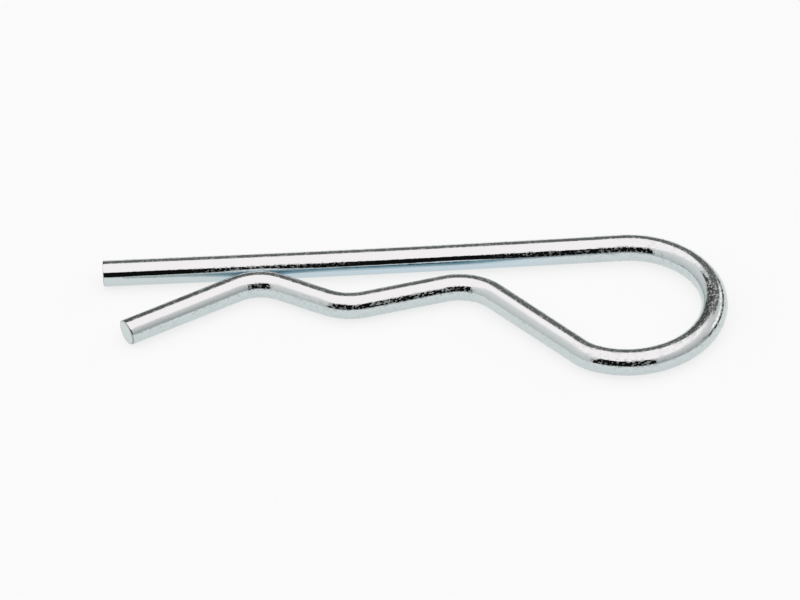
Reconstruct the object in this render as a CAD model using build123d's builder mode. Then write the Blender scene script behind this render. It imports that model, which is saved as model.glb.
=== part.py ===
from build123d import *

import os
from itertools import pairwise
from math import asin, degrees

os.makedirs("parts", exist_ok=True)

# An R clip: one length of round spring wire. Its straight leg passes through the cross hole of a
# pin, its wavy leg springs over the outside of that pin, and a round eye joins the two legs.
# The clip lies flat in the XY plane, and the origin is where the axis of the gripped pin crosses
# the straight leg. +X points to the eye, and the wavy leg is on the -Y side.
# Lengths are in millimetres, and every radius and reach is to the middle of the wire.

# The wire, and the pin that it is made to grip
wire_diameter = 4.0
pin_diameter = 16.0
end_rounding = 0.3  # worn edge of the two sheared ends

# The straight leg: a true tip, then the slight bow that forming leaves
leg_reach = 37.8  # from the pin's axis to the free end
tip_length = 18.0
bow_radius = 2450.0

# The eye: a round part, then a tighter bend that leads out of it to the neck
eye_reach = 41.1  # from the pin's axis to the start of the eye
eye_radius = 13.1
exit_radius = 7.2
exit_lead = 25.0  # degrees of the round part that the tighter bend takes over

# The neck, where the wavy leg comes closest to the straight leg beside the pin
neck_reach = 15.75
neck_radius = 7.8
neck_gap = 2.7

# The seat, which lies over the pin
seat_radius = 8.3
seat_grip = 0.1  # how far the pin springs the seat open

# The bump behind the pin, which all but touches the straight leg
bump_reach = 14.3
bump_radius = 7.0
bump_gap = 0.05

# The tail, which opens the mouth for the pin
tail_length = 19.0
tail_flare = 28.1  # degrees from the straight leg

# A bend is its centre and its radius, which is positive where the wire turns left and negative
# where it turns right.


def bend_at(crest_x, crest_depth, turn_radius):
    """A bend of the wavy leg. At its crest the wire runs towards -X."""
    return Vector(crest_x, -crest_depth - turn_radius), turn_radius


def run_between(bend, next_bend):
    """The two ends of the straight run that is tangent to one bend and then to the next."""
    (centre, turn_radius), (next_centre, next_turn_radius) = bend, next_bend
    across = next_centre - centre
    lean = degrees(asin((next_turn_radius - turn_radius) / across.length))
    left = across.normalized().rotate(Axis.Z, 90 - lean)
    return centre - left * turn_radius, next_centre - left * next_turn_radius


def tighter_exit(bend, next_bend, tight_radius, lead):
    """Where a right-turning bend stops short by the lead, and the tighter bend that follows it."""
    centre, turn_radius = bend
    plain_end, _ = run_between(bend, next_bend)
    spoke = (plain_end - centre).rotate(Axis.Z, lead)
    tight_centre = centre + spoke * (1 - tight_radius / abs(turn_radius))
    return centre + spoke, (tight_centre, -tight_radius)


bow_turn = degrees(asin((leg_reach - tip_length + eye_reach) / bow_radius))
seat_depth = pin_diameter / 2 - seat_grip + wire_diameter / 2

neck = bend_at(neck_reach, wire_diameter + neck_gap, neck_radius)
seat = bend_at(0, seat_depth, -seat_radius)
bump = bend_at(-bump_reach, wire_diameter + bump_gap, bump_radius)

with BuildPart() as r_clip:
    with BuildLine() as wire_line:
        tip = Line((-leg_reach, 0), (tip_length - leg_reach, 0))
        bow = JernArc(tip @ 1, tip % 1, bow_radius, bow_turn)

        eye = (bow @ 1 + (bow % 1).rotate(Axis.Z, -90) * eye_radius, -eye_radius)
        eye_end, eye_exit = tighter_exit(eye, neck, exit_radius, exit_lead)
        wire = TangentArc(bow @ 1, eye_end, tangent=bow % 1)

        for bend, next_bend in pairwise([eye_exit, neck, seat, bump]):
            run_start, run_end = run_between(bend, next_bend)
            TangentArc(wire @ 1, run_start, tangent=wire % 1)
            wire = Line(run_start, run_end)

        bump_centre, _ = bump
        tail_heading = Vector(-1, 0).rotate(Axis.Z, tail_flare)
        tail_start = bump_centre - tail_heading.rotate(Axis.Z, 90) * bump_radius
        TangentArc(wire @ 1, tail_start, tangent=wire % 1)
        Line(tail_start, tail_start + tail_heading * tail_length)

    with BuildSketch(wire_line.line ^ 0):
        Circle(wire_diameter / 2)
    sweep()

    sheared_ends = r_clip.faces().filter_by(GeomType.PLANE)
    fillet(sheared_ends.edges(), end_rounding)

r_clip.part.label = "r_clip"
export_step(r_clip.part, "parts/r_clip.step")
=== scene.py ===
from itertools import pairwise
from math import asin, atan2, ceil, cos, pi, radians, sin

import bpy
from mathutils import Matrix, Vector


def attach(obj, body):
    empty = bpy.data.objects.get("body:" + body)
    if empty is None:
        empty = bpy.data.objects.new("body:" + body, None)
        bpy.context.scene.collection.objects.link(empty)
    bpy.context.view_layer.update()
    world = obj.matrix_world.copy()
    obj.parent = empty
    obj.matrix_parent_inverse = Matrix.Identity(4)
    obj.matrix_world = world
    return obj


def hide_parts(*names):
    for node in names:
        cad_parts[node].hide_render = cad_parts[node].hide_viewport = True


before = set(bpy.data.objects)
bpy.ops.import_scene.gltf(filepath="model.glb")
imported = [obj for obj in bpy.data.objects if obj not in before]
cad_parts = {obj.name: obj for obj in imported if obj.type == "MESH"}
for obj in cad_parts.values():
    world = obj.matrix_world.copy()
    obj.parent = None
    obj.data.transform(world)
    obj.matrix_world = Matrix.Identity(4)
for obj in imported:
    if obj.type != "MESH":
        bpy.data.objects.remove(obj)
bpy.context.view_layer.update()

# An R clip of bright zinc plated spring wire, lying flat on a pale floor in a plain studio.
# All lengths are in metres, in the frame of the CAD part: the origin is where the axis of the
# gripped pin crosses the straight leg, +X points to the eye and the wavy leg is on the -Y side.

mm = 0.001

# The sizes of the wire's line, as in the part
wire_diameter = 4.0 * mm
wire_radius = wire_diameter / 2
pin_diameter = 16.0 * mm
end_rounding = 0.3 * mm
leg_reach = 37.8 * mm
tip_length = 18.0 * mm
bow_radius = 2450.0 * mm
eye_reach = 41.1 * mm
eye_radius = 13.1 * mm
exit_radius = 7.2 * mm
exit_lead = radians(25.0)
neck_reach = 15.75 * mm
neck_radius = 7.8 * mm
neck_gap = 2.7 * mm
seat_radius = 8.3 * mm
seat_grip = 0.1 * mm
bump_reach = 14.3 * mm
bump_radius = 7.0 * mm
bump_gap = 0.05 * mm
tail_length = 19.0 * mm
tail_flare = radians(28.1)

# The shears leave each edge rounded more on one side. An angle round the wire is 0 on its left,
# going from the tip to the tail, and a quarter turn on its top.
tail_rounding = 0.45 * mm
tip_fullest = radians(-90.0)
tail_fullest = radians(-30.0)
uneven_share = 0.38  # of the rounding, lost a quarter turn away from its fullest

# How finely the wire's mesh follows it
ring_spacing = 0.4 * mm
ring_corners = 80
rounding_steps = 5
face_steps = 6


def turned(vector, angle):
    """A flat vector turned to the left by an angle."""
    return Matrix.Rotation(angle, 2) @ vector


def angle_of(vector):
    return atan2(vector.y, vector.x)


# A bend is its centre and its radius, which is positive where the wire turns left and negative
# where it turns right.


def bend_at(crest_x, crest_depth, turn_radius):
    """A bend of the wavy leg. At its crest the wire runs towards -X."""
    return Vector((crest_x, -crest_depth - turn_radius)), turn_radius


def run_between(bend, next_bend):
    """The two ends of the straight run that is tangent to one bend and then to the next."""
    (centre, turn_radius), (next_centre, next_turn_radius) = bend, next_bend
    across = next_centre - centre
    lean = asin((next_turn_radius - turn_radius) / across.length)
    left = turned(across.normalized(), pi / 2 - lean)
    return centre - left * turn_radius, next_centre - left * next_turn_radius


def tighter_exit(bend, next_bend, tight_radius, lead):
    """Where a right-turning bend stops short by the lead, and the tighter bend that follows it."""
    centre, turn_radius = bend
    plain_end, _ = run_between(bend, next_bend)
    spoke = turned(plain_end - centre, lead)
    tight_centre = centre + spoke * (1 - tight_radius / abs(turn_radius))
    return centre + spoke, (tight_centre, -tight_radius)


def stretch_along(heading, next_heading, turn_radius):
    """The length and the turn of a bend from one heading to the next."""
    side = 1 if turn_radius > 0 else -1
    turn = side * ((side * (next_heading - heading)) % (2 * pi))
    return turn_radius * turn, turn


def wire_stretches():
    """The wire from its straight tip to its tail, as the length and the turn of each stretch."""
    bow_turn = asin((leg_reach - tip_length + eye_reach) / bow_radius)
    bow_centre = Vector((tip_length - leg_reach, bow_radius))
    bow_end = bow_centre + turned(Vector((0, -bow_radius)), bow_turn)
    eye_centre = bow_end + turned(Vector((0, -eye_radius)), bow_turn)

    neck = bend_at(neck_reach, wire_diameter + neck_gap, neck_radius)
    seat_depth = pin_diameter / 2 - seat_grip + wire_diameter / 2
    seat = bend_at(0, seat_depth, -seat_radius)
    bump = bend_at(-bump_reach, wire_diameter + bump_gap, bump_radius)
    eye_end, eye_exit = tighter_exit((eye_centre, -eye_radius), neck, exit_radius, exit_lead)

    stretches = [(tip_length, 0.0), (bow_radius * bow_turn, bow_turn)]
    heading = angle_of(eye_end - eye_centre) - pi / 2
    stretches.append(stretch_along(bow_turn, heading, -eye_radius))
    for bend, next_bend in pairwise([eye_exit, neck, seat, bump]):
        run_start, run_end = run_between(bend, next_bend)
        run_heading = angle_of(run_end - run_start)
        stretches.append(stretch_along(heading, run_heading, bend[1]))
        stretches.append(((run_end - run_start).length, 0.0))
        heading = run_heading
    stretches.append(stretch_along(heading, pi + tail_flare, bump_radius))
    stretches.append((tail_length, 0.0))
    return stretches


def advanced(point, heading, length, turn):
    """The point and heading reached by going along part of a run or a bend."""
    if turn == 0.0:
        return point + Vector((cos(heading), sin(heading))) * length, heading
    reached = heading + turn
    chord = Vector((sin(reached) - sin(heading), cos(heading) - cos(reached)))
    return point + chord * (length / turn), reached


def place_on_wire(stretches, distance):
    """The point and heading of the wire's line at a distance from its straight tip."""
    point, heading = Vector((-leg_reach, 0)), 0.0
    for length, turn in stretches:
        if distance <= length:
            return advanced(point, heading, distance, turn * distance / length)
        point, heading = advanced(point, heading, length, turn)
        distance -= length
    return point, heading


def sheared_end(rounding, fullest):
    """The rings of a sheared end, from near its middle to the wire's side. Each point is its depth
    and its place across the wire. The edge is rounded most at one angle, and least opposite it."""
    steps = [(step / face_steps, 0.0) for step in range(1, face_steps)]
    steps += [(1.0, pi / 2 * step / rounding_steps) for step in range(rounding_steps + 1)]
    rings = []
    for share, arc in steps:
        ring = []
        for corner in range(ring_corners):
            angle = 2 * pi * corner / ring_corners
            reach = rounding * (1 - uneven_share * (1 - cos(angle - fullest)))
            radius = (wire_radius - reach) * share + reach * sin(arc)
            ring.append((reach * (1 - cos(arc)), radius * cos(angle), radius * sin(angle)))
        rings.append(ring)
    return rings


def straight_rings(total_length):
    """The rings of the straight wire before it is bent, from its tip to its tail."""
    tip = sheared_end(end_rounding, tip_fullest)
    tail = sheared_end(tail_rounding, tail_fullest)
    side = [(aside, above) for _, aside, above in tip[-1]]
    body_length = total_length - end_rounding - tail_rounding
    count = ceil(body_length / ring_spacing)

    rings = list(tip)
    for step in range(1, count):
        distance = end_rounding + body_length * step / count
        rings.append([(distance, aside, above) for aside, above in side])
    for ring in reversed(tail):
        rings.append([(total_length - depth, aside, above) for depth, aside, above in ring])
    return rings


def bent(places, stretches):
    """The points of the bent wire, from places on the straight one."""
    points = []
    for distance, aside, above in places:
        point, heading = place_on_wire(stretches, distance)
        left = Vector((-sin(heading), cos(heading)))
        flat = point + left * aside
        points.append((flat.x, flat.y, above))
    return points


def tube_faces(ring_count):
    """The faces of a closed tube: a first point, then its rings, then a last point."""
    last_ring = 1 + (ring_count - 1) * ring_corners
    last_point = last_ring + ring_corners
    faces = []
    for corner in range(ring_corners):
        following = (corner + 1) % ring_corners
        faces.append((0, 1 + following, 1 + corner))
        for near in range(1, last_ring, ring_corners):
            far = near + ring_corners
            faces.append((near + corner, near + following, far + following, far + corner))
        faces.append((last_ring + corner, last_ring + following, last_point))
    return faces


def make_wire():
    """The bent wire as one closed mesh, which keeps each point's place on the straight wire."""
    stretches = wire_stretches()
    total_length = sum(length for length, _ in stretches)
    rings = straight_rings(total_length)
    places = [(0.0, 0.0, 0.0)]
    for ring in rings:
        places += ring
    places.append((total_length, 0.0, 0.0))

    mesh = bpy.data.meshes.new("bent_wire")
    mesh.from_pydata(bent(places, stretches), [], tube_faces(len(rings)))
    mesh.shade_smooth()
    straight = mesh.attributes.new("straight_place", "FLOAT_VECTOR", "POINT")
    straight.data.foreach_set("vector", [value for place in places for value in place])
    wire = bpy.data.objects.new("bent_wire", mesh)
    bpy.context.scene.collection.objects.link(wire)
    return wire


# Shader nodes


def add_node(tree, kind, inputs=None, **settings):
    """A shader node with its settings. An input is a value, or another node's output."""
    node = tree.nodes.new("ShaderNode" + kind)
    for name, value in settings.items():
        setattr(node, name, value)
    for name, value in (inputs or {}).items():
        if isinstance(value, bpy.types.NodeSocket):
            tree.links.new(value, node.inputs[name])
        else:
            node.inputs[name].default_value = value
    return node


def calculated(tree, operation, first, second=0.0):
    """The output of one Math node."""
    return add_node(tree, "Math", {0: first, 1: second}, operation=operation).outputs[0]


def ramped(tree, value, start, full, smooth=True):
    """0 up to the start, 1 past the full value, and smooth or straight between them."""
    kind = "SMOOTHSTEP" if smooth else "LINEAR"
    ends = {"Value": value, "From Min": start, "From Max": full}
    return add_node(tree, "MapRange", ends, interpolation_type=kind).outputs[0]


def banded(tree, value, low, high, softness):
    """1 between two values and 0 outside them, with soft edges."""
    rise = ramped(tree, value, low - softness, low + softness)
    fall = ramped(tree, value, high + softness, high - softness)
    return calculated(tree, "MULTIPLY", rise, fall)


def overlap(tree, first, *others):
    """1 only where all of the zones are."""
    zone = first
    for other in others:
        zone = calculated(tree, "MULTIPLY", zone, other)
    return zone


def outside(tree, zone, value):
    """A value that fades to 0 in a zone."""
    return add_node(tree, "Mix", {0: zone, 2: value, 3: 0.0}).outputs[0]


def between(tree, share, low, high):
    """The value at a share of the way from low to high."""
    return add_node(tree, "MapRange", {"Value": share, "To Min": low, "To Max": high}).outputs[0]


def mixed(tree, share, base, over):
    """Two colours mixed."""
    mix = add_node(tree, "Mix", data_type="RGBA")
    tree.links.new(share, mix.inputs["Factor"])
    for socket, value in ((mix.inputs[6], base), (mix.inputs[7], over)):
        if isinstance(value, bpy.types.NodeSocket):
            tree.links.new(value, socket)
        else:
            socket.default_value = (*value, 1.0)
    return mix.outputs[2]


def noise(tree, place, pattern):
    """A noise from 0 to 1. Its pattern is so many blotches to the metre, its detail, and the share
    of the distance along the wire that it follows, which draws it out where it is below 1."""
    scale, detail, share = pattern
    drawn_out = add_node(tree, "VectorMath", {0: place, 1: (share, 1.0, 1.0)}, operation="MULTIPLY")
    values = {"Vector": drawn_out.outputs[0], "Scale": scale, "Detail": detail}
    return add_node(tree, "TexNoise", values).outputs[0]


def bumped(tree, height, depth, normal=None):
    """A normal tilted by a height from 0 to 1 that stands for a depth, on top of another."""
    values = {"Height": height, "Distance": depth}
    if normal:
        values["Normal"] = normal
    return add_node(tree, "Bump", values).outputs[0]


# The plating. Its zones are placed on the straight wire: along it from its tip, aside to its left
# and above its axis. So the inner side of the clip is where aside is below 0, on both legs.
# A slope is where a zone starts and where it is full. A band is its two edges and how far their
# softness reaches.

eye_middle = 104 * mm  # along

inner_slope = -0.8 * mm, -1.5 * mm
inner_top_slope = 1.1 * mm, 0.6 * mm
inner_band_from_eye = 36 * mm, 88 * mm, 8 * mm
# Where the painted teal streak lies: a reflection of the wavy leg, and shade between the legs
painted_streak_height_band = 0.1 * mm, 0.8 * mm, 0.15 * mm
painted_streak_length_band = 17 * mm, 60 * mm, 6 * mm
wavy_leg_slope = 90 * mm, 110 * mm
# Below this height the underside takes a painted shade
painted_shade_underside_slope = -1.15 * mm, -1.45 * mm
face_slope = wire_radius - 0.3 * mm, wire_radius - 0.4 * mm
rim_band = wire_radius - 0.18 * mm, wire_radius - 0.02 * mm, 0.02 * mm

# Where it has no flecks
smooth_bands = (-4 * mm, 14 * mm, 3 * mm), (38 * mm, 60 * mm, 4 * mm)
smooth_slope = 0.0, -0.4 * mm
bright_slope = 0.05 * mm, 0.25 * mm
bright_height_slope = 1.45 * mm, 1.6 * mm
bright_slope_from_eye = 22 * mm, 30 * mm

# Its patterns, and how deep they are
patch_pattern = 150.0, 2.0, 1.0
grain_pattern = 3300.0, 1.5, 0.6
wave_pattern = 700.0, 1.0, 1.0
drawn_pattern = 2600.0, 4.0, 0.04
dapple_slope = 0.18, 0.45
fleck_slope = 0.49, 0.61
wave_depth = 0.012 * mm
drawn_depth = 0.006 * mm
grain_depth = 0.007 * mm

# Its tones and its gloss
plating_tones = (0.617, 0.68, 0.68), (0.60, 0.67, 0.67)
# Painted reflections of the other leg, and painted shade between the legs, on the legs' inner sides
straight_leg_painted_reflection = 0.58, 0.685, 0.745
painted_teal_streak = 0.39, 0.525, 0.58
wavy_leg_painted_reflection = 0.41, 0.54, 0.60
# Painted shade: the underside is darker, for the floor's contact shadow seen in the metal
painted_underside_shade = 0.42, 0.465, 0.465
face_tone = 0.665, 0.735, 0.72
# Painted shade: a dark line round each sheared face, where its rounded edge rolls over
painted_rim_shade = 0.36, 0.39, 0.39
plating_roughness = 0.04, 0.38
face_roughness = 0.25, 0.5


def end_zones(tree, aside, above):
    """The sheared faces, and the rims round them."""
    across = add_node(tree, "CombineXYZ", {"Y": aside, "Z": above}).outputs[0]
    off_axis = add_node(tree, "VectorMath", {0: across}, operation="LENGTH").outputs["Value"]
    return ramped(tree, off_axis, *face_slope), banded(tree, off_axis, *rim_band)


def inner_zone(tree, from_eye, aside, above):
    """The sides of the two legs that face each other, below their bright tops."""
    return overlap(tree, ramped(tree, aside, *inner_slope), ramped(tree, above, *inner_top_slope),
                   banded(tree, from_eye, *inner_band_from_eye))


def smooth_zone(tree, along, aside):
    """Two stretches of the straight leg's inner side."""
    tip_end, middle = (banded(tree, along, *band) for band in smooth_bands)
    stretches = calculated(tree, "ADD", tip_end, middle)
    return overlap(tree, stretches, ramped(tree, aside, *smooth_slope))


def bright_zone(tree, along, from_eye, aside, above):
    """The upper part of each leg's front side, which mirrors the overhead light."""
    leg = calculated(tree, "SIGN", calculated(tree, "SUBTRACT", along, eye_middle))
    frontward = calculated(tree, "MULTIPLY", leg, aside)
    return overlap(tree, ramped(tree, frontward, *bright_slope),
                   ramped(tree, above, *bright_height_slope),
                   ramped(tree, from_eye, *bright_slope_from_eye))


def fleck_shares(tree, patches, grain, clear_zones):
    """Matt flecks in patches, except in the zones that are clear of them."""
    dappled = ramped(tree, patches, *dapple_slope)
    for zone in clear_zones:
        dappled = outside(tree, zone, dappled)
    return overlap(tree, ramped(tree, grain, *fleck_slope), dappled)


def zinc_normal(tree, place, grain):
    """The slight waves, the drawn lines and the grain of the surface."""
    normal = bumped(tree, noise(tree, place, wave_pattern), wave_depth)
    normal = bumped(tree, noise(tree, place, drawn_pattern), drawn_depth, normal)
    return bumped(tree, grain, grain_depth, normal)


def painted_inner_reflection(tree, along, above):
    """Painted reflections of the other leg on the inner sides, faintly blue, with a darker teal
    streak along the straight leg that also paints the shade between the legs.
    """
    painted_streak = overlap(tree, banded(tree, above, *painted_streak_height_band),
                     banded(tree, along, *painted_streak_length_band))
    straight_leg_reflection = mixed(tree, painted_streak, straight_leg_painted_reflection, painted_teal_streak)
    return mixed(tree, ramped(tree, along, *wavy_leg_slope), straight_leg_reflection, wavy_leg_painted_reflection)


def zinc_material():
    """Bright zinc plating on drawn wire, with matt flecks and lines, and dull sheared ends."""
    material = bpy.data.materials.new("zinc_plated_wire")
    material.use_nodes = True
    tree = material.node_tree
    shader = tree.nodes["Principled BSDF"]
    shader.inputs["Metallic"].default_value = 1.0

    place = add_node(tree, "Attribute", attribute_name="straight_place").outputs["Vector"]
    along, aside, above = add_node(tree, "SeparateXYZ", {0: place}).outputs
    from_eye = calculated(tree, "ABSOLUTE", calculated(tree, "SUBTRACT", along, eye_middle))
    face, rim = end_zones(tree, aside, above)
    inner = inner_zone(tree, from_eye, aside, above)
    clear_zones = [smooth_zone(tree, along, aside), inner,
                   bright_zone(tree, along, from_eye, aside, above)]

    patches = noise(tree, place, patch_pattern)
    grain = noise(tree, place, grain_pattern)
    tree.links.new(zinc_normal(tree, place, grain), shader.inputs["Normal"])

    colour = mixed(tree, patches, *plating_tones)
    # The inner sides get a painted reflection of the other leg and painted shade between the legs
    colour = mixed(tree, inner, colour, painted_inner_reflection(tree, along, above))
    # Painted shade on the underside, for the contact shadow mirrored in the metal
    colour = mixed(tree, ramped(tree, above, *painted_shade_underside_slope), colour, painted_underside_shade)
    colour = mixed(tree, face, colour, face_tone)
    # Painted shade along the rim of each sheared face
    colour = mixed(tree, rim, colour, painted_rim_shade)
    tree.links.new(colour, shader.inputs["Base Color"])

    flecks = fleck_shares(tree, patches, grain, clear_zones)
    gloss = {0: face, 2: between(tree, flecks, *plating_roughness),
             3: between(tree, grain, *face_roughness)}
    tree.links.new(add_node(tree, "Mix", gloss).outputs[0], shader.inputs["Roughness"])
    return material


# The floor

floor_reach = 12.0
floor_paint = 0.93, 0.98, 0.98
plain_white = 1.0, 1.0, 1.0
white_share = 0.77  # of plain white in the floor as the camera and the metal see it


def floor_material():
    """Pale floor, nearly white to the eye and in the metal, that keeps the clip's soft shadow."""
    material = bpy.data.materials.new("pale_floor")
    material.use_nodes = True
    tree = material.node_tree
    tree.nodes.clear()
    paint = add_node(tree, "BsdfDiffuse", {"Color": (*floor_paint, 1.0)}).outputs[0]
    white = add_node(tree, "Emission", {"Color": (*plain_white, 1.0), "Strength": 1.0}).outputs[0]
    path = add_node(tree, "LightPath").outputs
    seen = calculated(tree, "ADD", path["Is Camera Ray"], path["Is Glossy Ray"])
    seen = calculated(tree, "ADD", seen, path["Is Transmission Ray"])
    share = calculated(tree, "MULTIPLY", seen, white_share)
    mix = add_node(tree, "MixShader", {0: share, 1: paint, 2: white}).outputs[0]
    add_node(tree, "OutputMaterial", {"Surface": mix})
    return material


def make_floor():
    """A square of floor that the clip lies on."""
    mesh = bpy.data.meshes.new("floor")
    corners = [(x * floor_reach, y * floor_reach, -wire_radius)
               for x, y in ((-1, -1), (1, -1), (1, 1), (-1, 1))]
    mesh.from_pydata(corners, [], [(0, 1, 2, 3)])
    floor = bpy.data.objects.new("floor", mesh)
    floor.data.materials.append(floor_material())
    bpy.context.scene.collection.objects.link(floor)


# The studio, far away on all sides. An azimuth is in degrees from the front, which is -Y, and is
# above 0 to the right. An elevation is in degrees above the floor.

# A wall is the elevations between which it grows brighter, and its lowest and highest tone
left_wall = (5.0, 48.0), (0.73, 0.71, 0.71), (0.985, 0.93, 0.94)
right_wall = (8.0, 48.0), (0.47, 0.48, 0.48), (0.93, 0.855, 0.865)
wall_meeting_slope = -6.0, 6.0

# A panel is its azimuth band, its elevation band and its tone
dark_shelf = (87.0, 152.0, 4.0), (-20.0, 12.0, 2.5), (0.07, 0.07, 0.07)
window = (100.0, 150.0, 8.0), (15.0, 28.0, 2.5), (1.42, 1.30, 1.30)
grey_upright = (84.0, 91.0, 1.5), (-20.0, 22.0, 2.0), (0.38, 0.39, 0.39)
dark_front = (-40.0, 27.5, 1.0), (4.0, 52.0, 2.0), (0.006, 0.006, 0.006)

# The dim back reaches further round as it rises, and further round to the left
back_slope = 153.0, 160.0  # degrees round from the front, at floor level
back_elevation_band = -20.0, 44.0, 2.0
back_spread = 0.35  # degrees round for each degree up
left_spread = 8.0
left_spread_slope = 0.0, -90.0
darker_back_band = -172.0, -100.0, 8.0
back_tones = (0.17, 0.16, 0.155), (0.08, 0.075, 0.075)

# The overhead light's soft edge starts at one elevation, and is wider at the sides
overhead_start = 46.5
overhead_full = 50.0  # at the front and back
overhead_side_rise = 11.0  # of that, at the sides
overhead_tone = 1.44, 1.27, 1.28


def looking(tree):
    """The azimuth and the elevation that a ray goes to."""
    direction = add_node(tree, "TexCoord").outputs["Generated"]
    along_x, along_y, along_z = add_node(tree, "SeparateXYZ", {0: direction}).outputs
    forward = calculated(tree, "MULTIPLY", along_y, -1.0)
    azimuth = calculated(tree, "DEGREES", calculated(tree, "ARCTAN2", along_x, forward))
    elevation = calculated(tree, "DEGREES", calculated(tree, "ARCSINE", along_z))
    return azimuth, elevation


def walls(tree, azimuth, elevation):
    """Two pale walls that meet at the front and grow brighter towards the top."""
    sides = []
    for rise, low, high in (left_wall, right_wall):
        sides.append(mixed(tree, ramped(tree, elevation, *rise, smooth=False), low, high))
    return mixed(tree, ramped(tree, azimuth, *wall_meeting_slope), *sides)


def panelled(tree, azimuth, elevation, colour, panel):
    """The studio's colour with a panel over it."""
    azimuth_band, elevation_band, tone = panel
    zone = overlap(tree, banded(tree, azimuth, *azimuth_band),
                   banded(tree, elevation, *elevation_band))
    return mixed(tree, zone, colour, tone)


def backed(tree, azimuth, elevation, colour):
    """The studio's colour with its dim back over it."""
    spread = calculated(tree, "MULTIPLY", elevation, back_spread)
    further_left = calculated(tree, "MULTIPLY", ramped(tree, azimuth, *left_spread_slope),
                              left_spread)
    reach = calculated(tree, "ADD", spread, calculated(tree, "ABSOLUTE", azimuth))
    reach = calculated(tree, "ADD", reach, further_left)
    zone = overlap(tree, ramped(tree, reach, *back_slope),
                   banded(tree, elevation, *back_elevation_band))
    tone = mixed(tree, banded(tree, azimuth, *darker_back_band), *back_tones)
    return mixed(tree, zone, colour, tone)


def lit_overhead(tree, azimuth, elevation, colour):
    """The studio's colour with the large overhead light over it."""
    sideways = calculated(tree, "SINE", calculated(tree, "RADIANS", azimuth))
    sideways = calculated(tree, "MULTIPLY", sideways, sideways)
    full = calculated(tree, "MULTIPLY", sideways, overhead_side_rise)
    full = calculated(tree, "ADD", full, overhead_full)
    return mixed(tree, ramped(tree, elevation, overhead_start, full), colour, overhead_tone)


def make_world():
    """A plain studio: a large overhead softbox, pale walls, a dark front and a dim back."""
    world = bpy.data.worlds.new("studio")
    world.use_nodes = True
    bpy.context.scene.world = world
    tree = world.node_tree
    azimuth, elevation = looking(tree)
    colour = walls(tree, azimuth, elevation)
    for panel in (dark_shelf, window, grey_upright):
        colour = panelled(tree, azimuth, elevation, colour, panel)
    colour = backed(tree, azimuth, elevation, colour)
    colour = panelled(tree, azimuth, elevation, colour, dark_front)
    colour = lit_overhead(tree, azimuth, elevation, colour)
    tree.links.new(colour, tree.nodes["Background"].inputs["Color"])


# The camera. It is placed by where it sees the middle of the straight leg's tip, in pixels.

image_width, image_height = 800, 600
sensor_width = 36.0  # in millimetres, as the lens is
focal_pixels = 7000.0
camera_azimuth = radians(-0.2436)
camera_elevation = radians(41.2516)
camera_roll = radians(-2.3253)
tip_pixel = 103.2927, 273.6131
tip_depth = 1.0654785  # from the camera, along its view


def make_camera():
    """The photograph's viewpoint: a long lens, 41 degrees above the floor."""
    forward = Vector((-sin(camera_azimuth) * cos(camera_elevation),
                      cos(camera_azimuth) * cos(camera_elevation),
                      -sin(camera_elevation)))
    level_right = forward.cross(Vector((0, 0, 1))).normalized()
    level_up = level_right.cross(forward)
    right = level_right * cos(camera_roll) + level_up * sin(camera_roll)
    up = level_up * cos(camera_roll) - level_right * sin(camera_roll)
    aside = (tip_pixel[0] - image_width / 2) / focal_pixels
    below = (tip_pixel[1] - image_height / 2) / focal_pixels
    tip = Vector((-leg_reach, 0, 0))
    place = tip - (forward + right * aside - up * below) * tip_depth

    lens = bpy.data.cameras.new("camera")
    lens.sensor_width = sensor_width
    lens.lens = focal_pixels * sensor_width / image_width
    lens.clip_start = 0.01
    lens.clip_end = 100.0
    camera = bpy.data.objects.new("camera", lens)
    turn = Matrix((right, up, -forward)).transposed().to_4x4()
    camera.matrix_world = Matrix.Translation(place) @ turn
    bpy.context.scene.collection.objects.link(camera)
    bpy.context.scene.camera = camera


wire = make_wire()
wire.data.materials.append(zinc_material())
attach(wire, "root")
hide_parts("r_clip")
make_floor()
make_world()
make_camera()
bpy.context.scene.view_settings.view_transform = "Standard"
